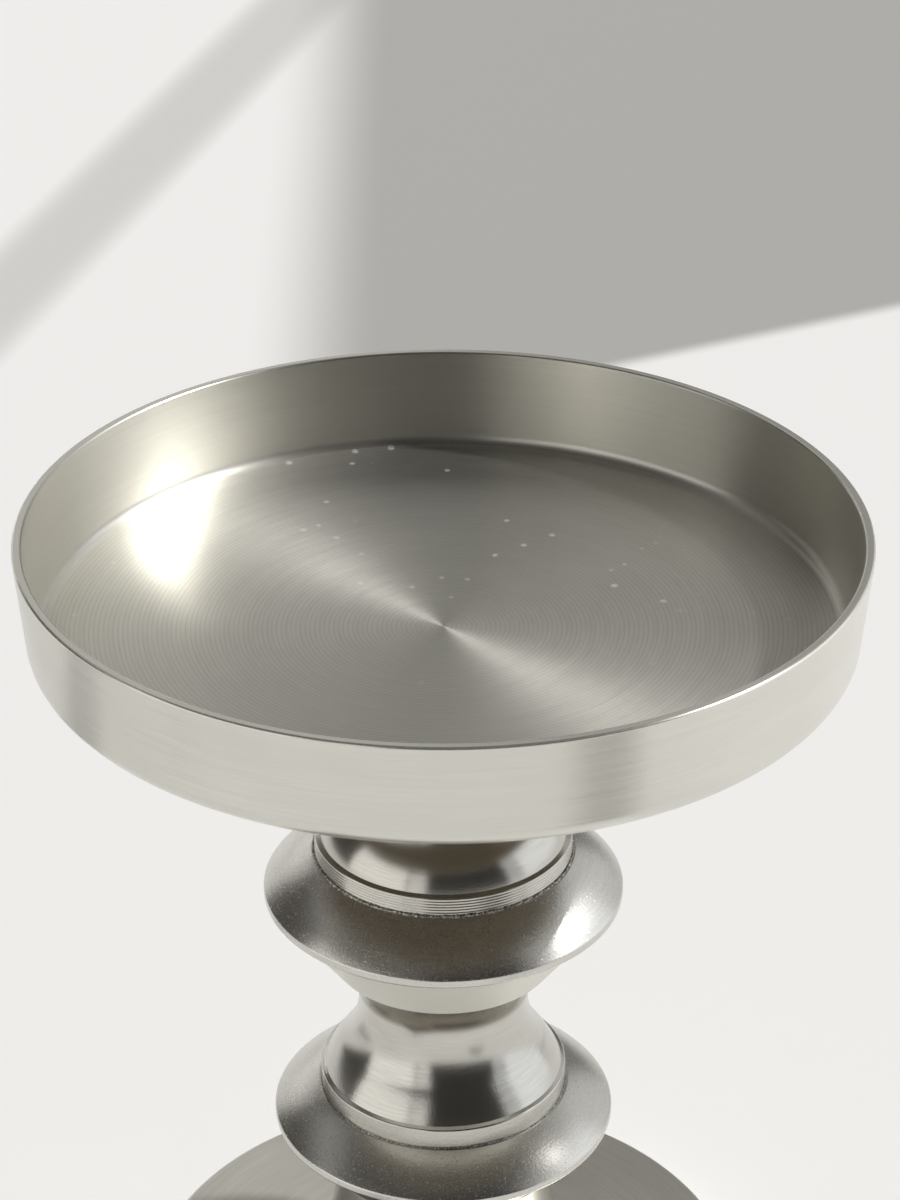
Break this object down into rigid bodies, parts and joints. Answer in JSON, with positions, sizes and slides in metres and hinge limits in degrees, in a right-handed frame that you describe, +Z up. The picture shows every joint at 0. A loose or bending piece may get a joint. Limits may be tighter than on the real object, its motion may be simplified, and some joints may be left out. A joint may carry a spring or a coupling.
{
  "type": "pillar candle holder",
  "caption": "Pillar candle holder: a shallow round steel pan on a turned stem of stacked collars and discs, with a round base plate.",
  "frame": {"origin": "centre of the ring that the holder stands on, at table height", "axes": "+Z up along the stem's axis; the holder is round, so +X and +Y are free"},
  "size_m": [0.11, 0.11, 0.1274],
  "materials": {
    "brushed_sheet": "spun and brushed in rings",
    "turned_steel": "turned, satin with fine tool marks",
    "brushed_plate": "satin",
    "plain_steel": "zinc-plated, dull",
    "black_rubber": "matt"
  },
  "bodies": {
    "root": {"candle_pan": "brushed_sheet", "pan_boss": "plain_steel", "upper_collar": "turned_steel", "upper_disc": "turned_steel", "waist_spool": "turned_steel", "lower_disc": "turned_steel", "foot_stem": "turned_steel", "base_plate": "brushed_plate", "rubber_tread_ring": "black_rubber", "tie_rod": "plain_steel", "flat_washer": "plain_steel", "spring_washer": "plain_steel", "base_nut": "plain_steel"}
  },
  "joints": []
}
